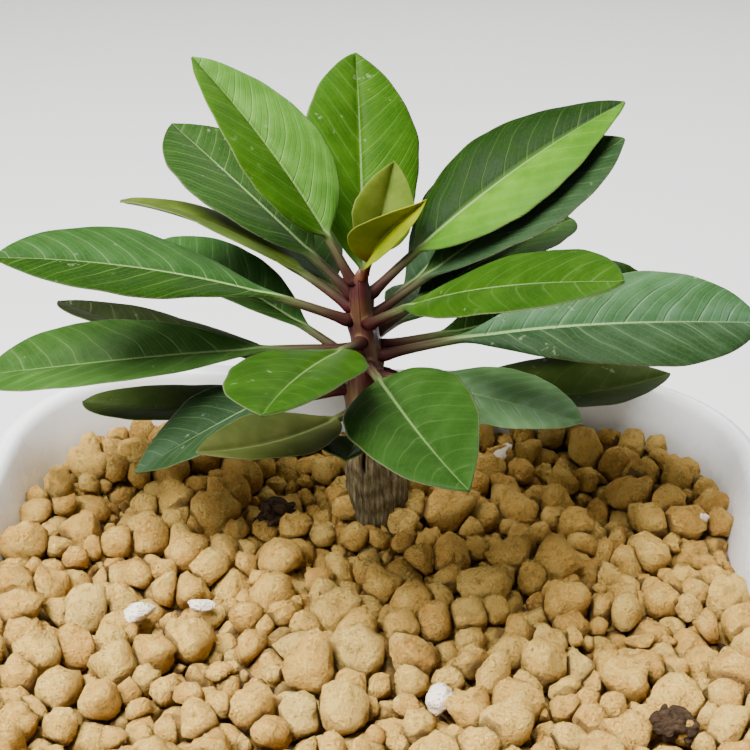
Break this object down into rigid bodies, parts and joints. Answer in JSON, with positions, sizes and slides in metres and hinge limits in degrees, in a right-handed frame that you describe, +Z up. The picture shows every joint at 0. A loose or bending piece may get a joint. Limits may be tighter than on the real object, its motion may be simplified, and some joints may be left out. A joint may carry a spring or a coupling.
{
  "type": "potted fouquieria",
  "caption": "Small caudex plant with broad pointed leaves, standing in a square white plastic pot filled with coarse tan granules.",
  "frame": {"origin": "middle of the pot's flat base, on the surface that the pot stands on", "axes": "+Z up, along the pot's height; +X and +Y square to the straight sides of the pot, with the stem toward the +Y side"},
  "size_m": [0.1298, 0.1405, 0.1555],
  "materials": {
    "pot": "white moulded plastic, smooth and a little glossy",
    "substrate": "hard dry tan granules, matt and crumbly",
    "stem": "grey-brown fissured bark below, red-brown and smooth toward the top",
    "leaf": "satin green leaf, pale midrib and side veins",
    "young_leaf": "satin olive-yellow young leaf with a dark red base",
    "pumice": "white porous pumice, matt",
    "bark_chip": "dark rough bark fragment, matt"
  },
  "bodies": {
    "root": {"pot": "pot", "substrate": "substrate", "stem": "stem", "leaf_01": "leaf", "leaf_02": "leaf", "leaf_03": "leaf", "leaf_04": "leaf", "leaf_05": "leaf", "leaf_06": "leaf", "leaf_07": "leaf", "leaf_08": "leaf", "leaf_09": "leaf", "leaf_10": "leaf", "leaf_11": "leaf", "leaf_12": "leaf", "leaf_13": "leaf", "leaf_14": "leaf", "leaf_15": "leaf", "leaf_16": "leaf", "leaf_17": "leaf", "leaf_18": "leaf", "leaf_19": "leaf", "leaf_20": "leaf", "leaf_21": "leaf", "leaf_22": "leaf", "leaf_23": "leaf", "leaf_24": "leaf", "leaf_25": "leaf", "young_leaf_1": "young_leaf", "young_leaf_2": "young_leaf", "pumice_chip_1": "pumice", "pumice_chip_2": "pumice", "pumice_chip_3": "pumice", "pumice_chip_4": "pumice", "pumice_chip_5": "pumice", "bark_chip_1": "bark_chip", "bark_chip_2": "bark_chip"}
  },
  "joints": []
}
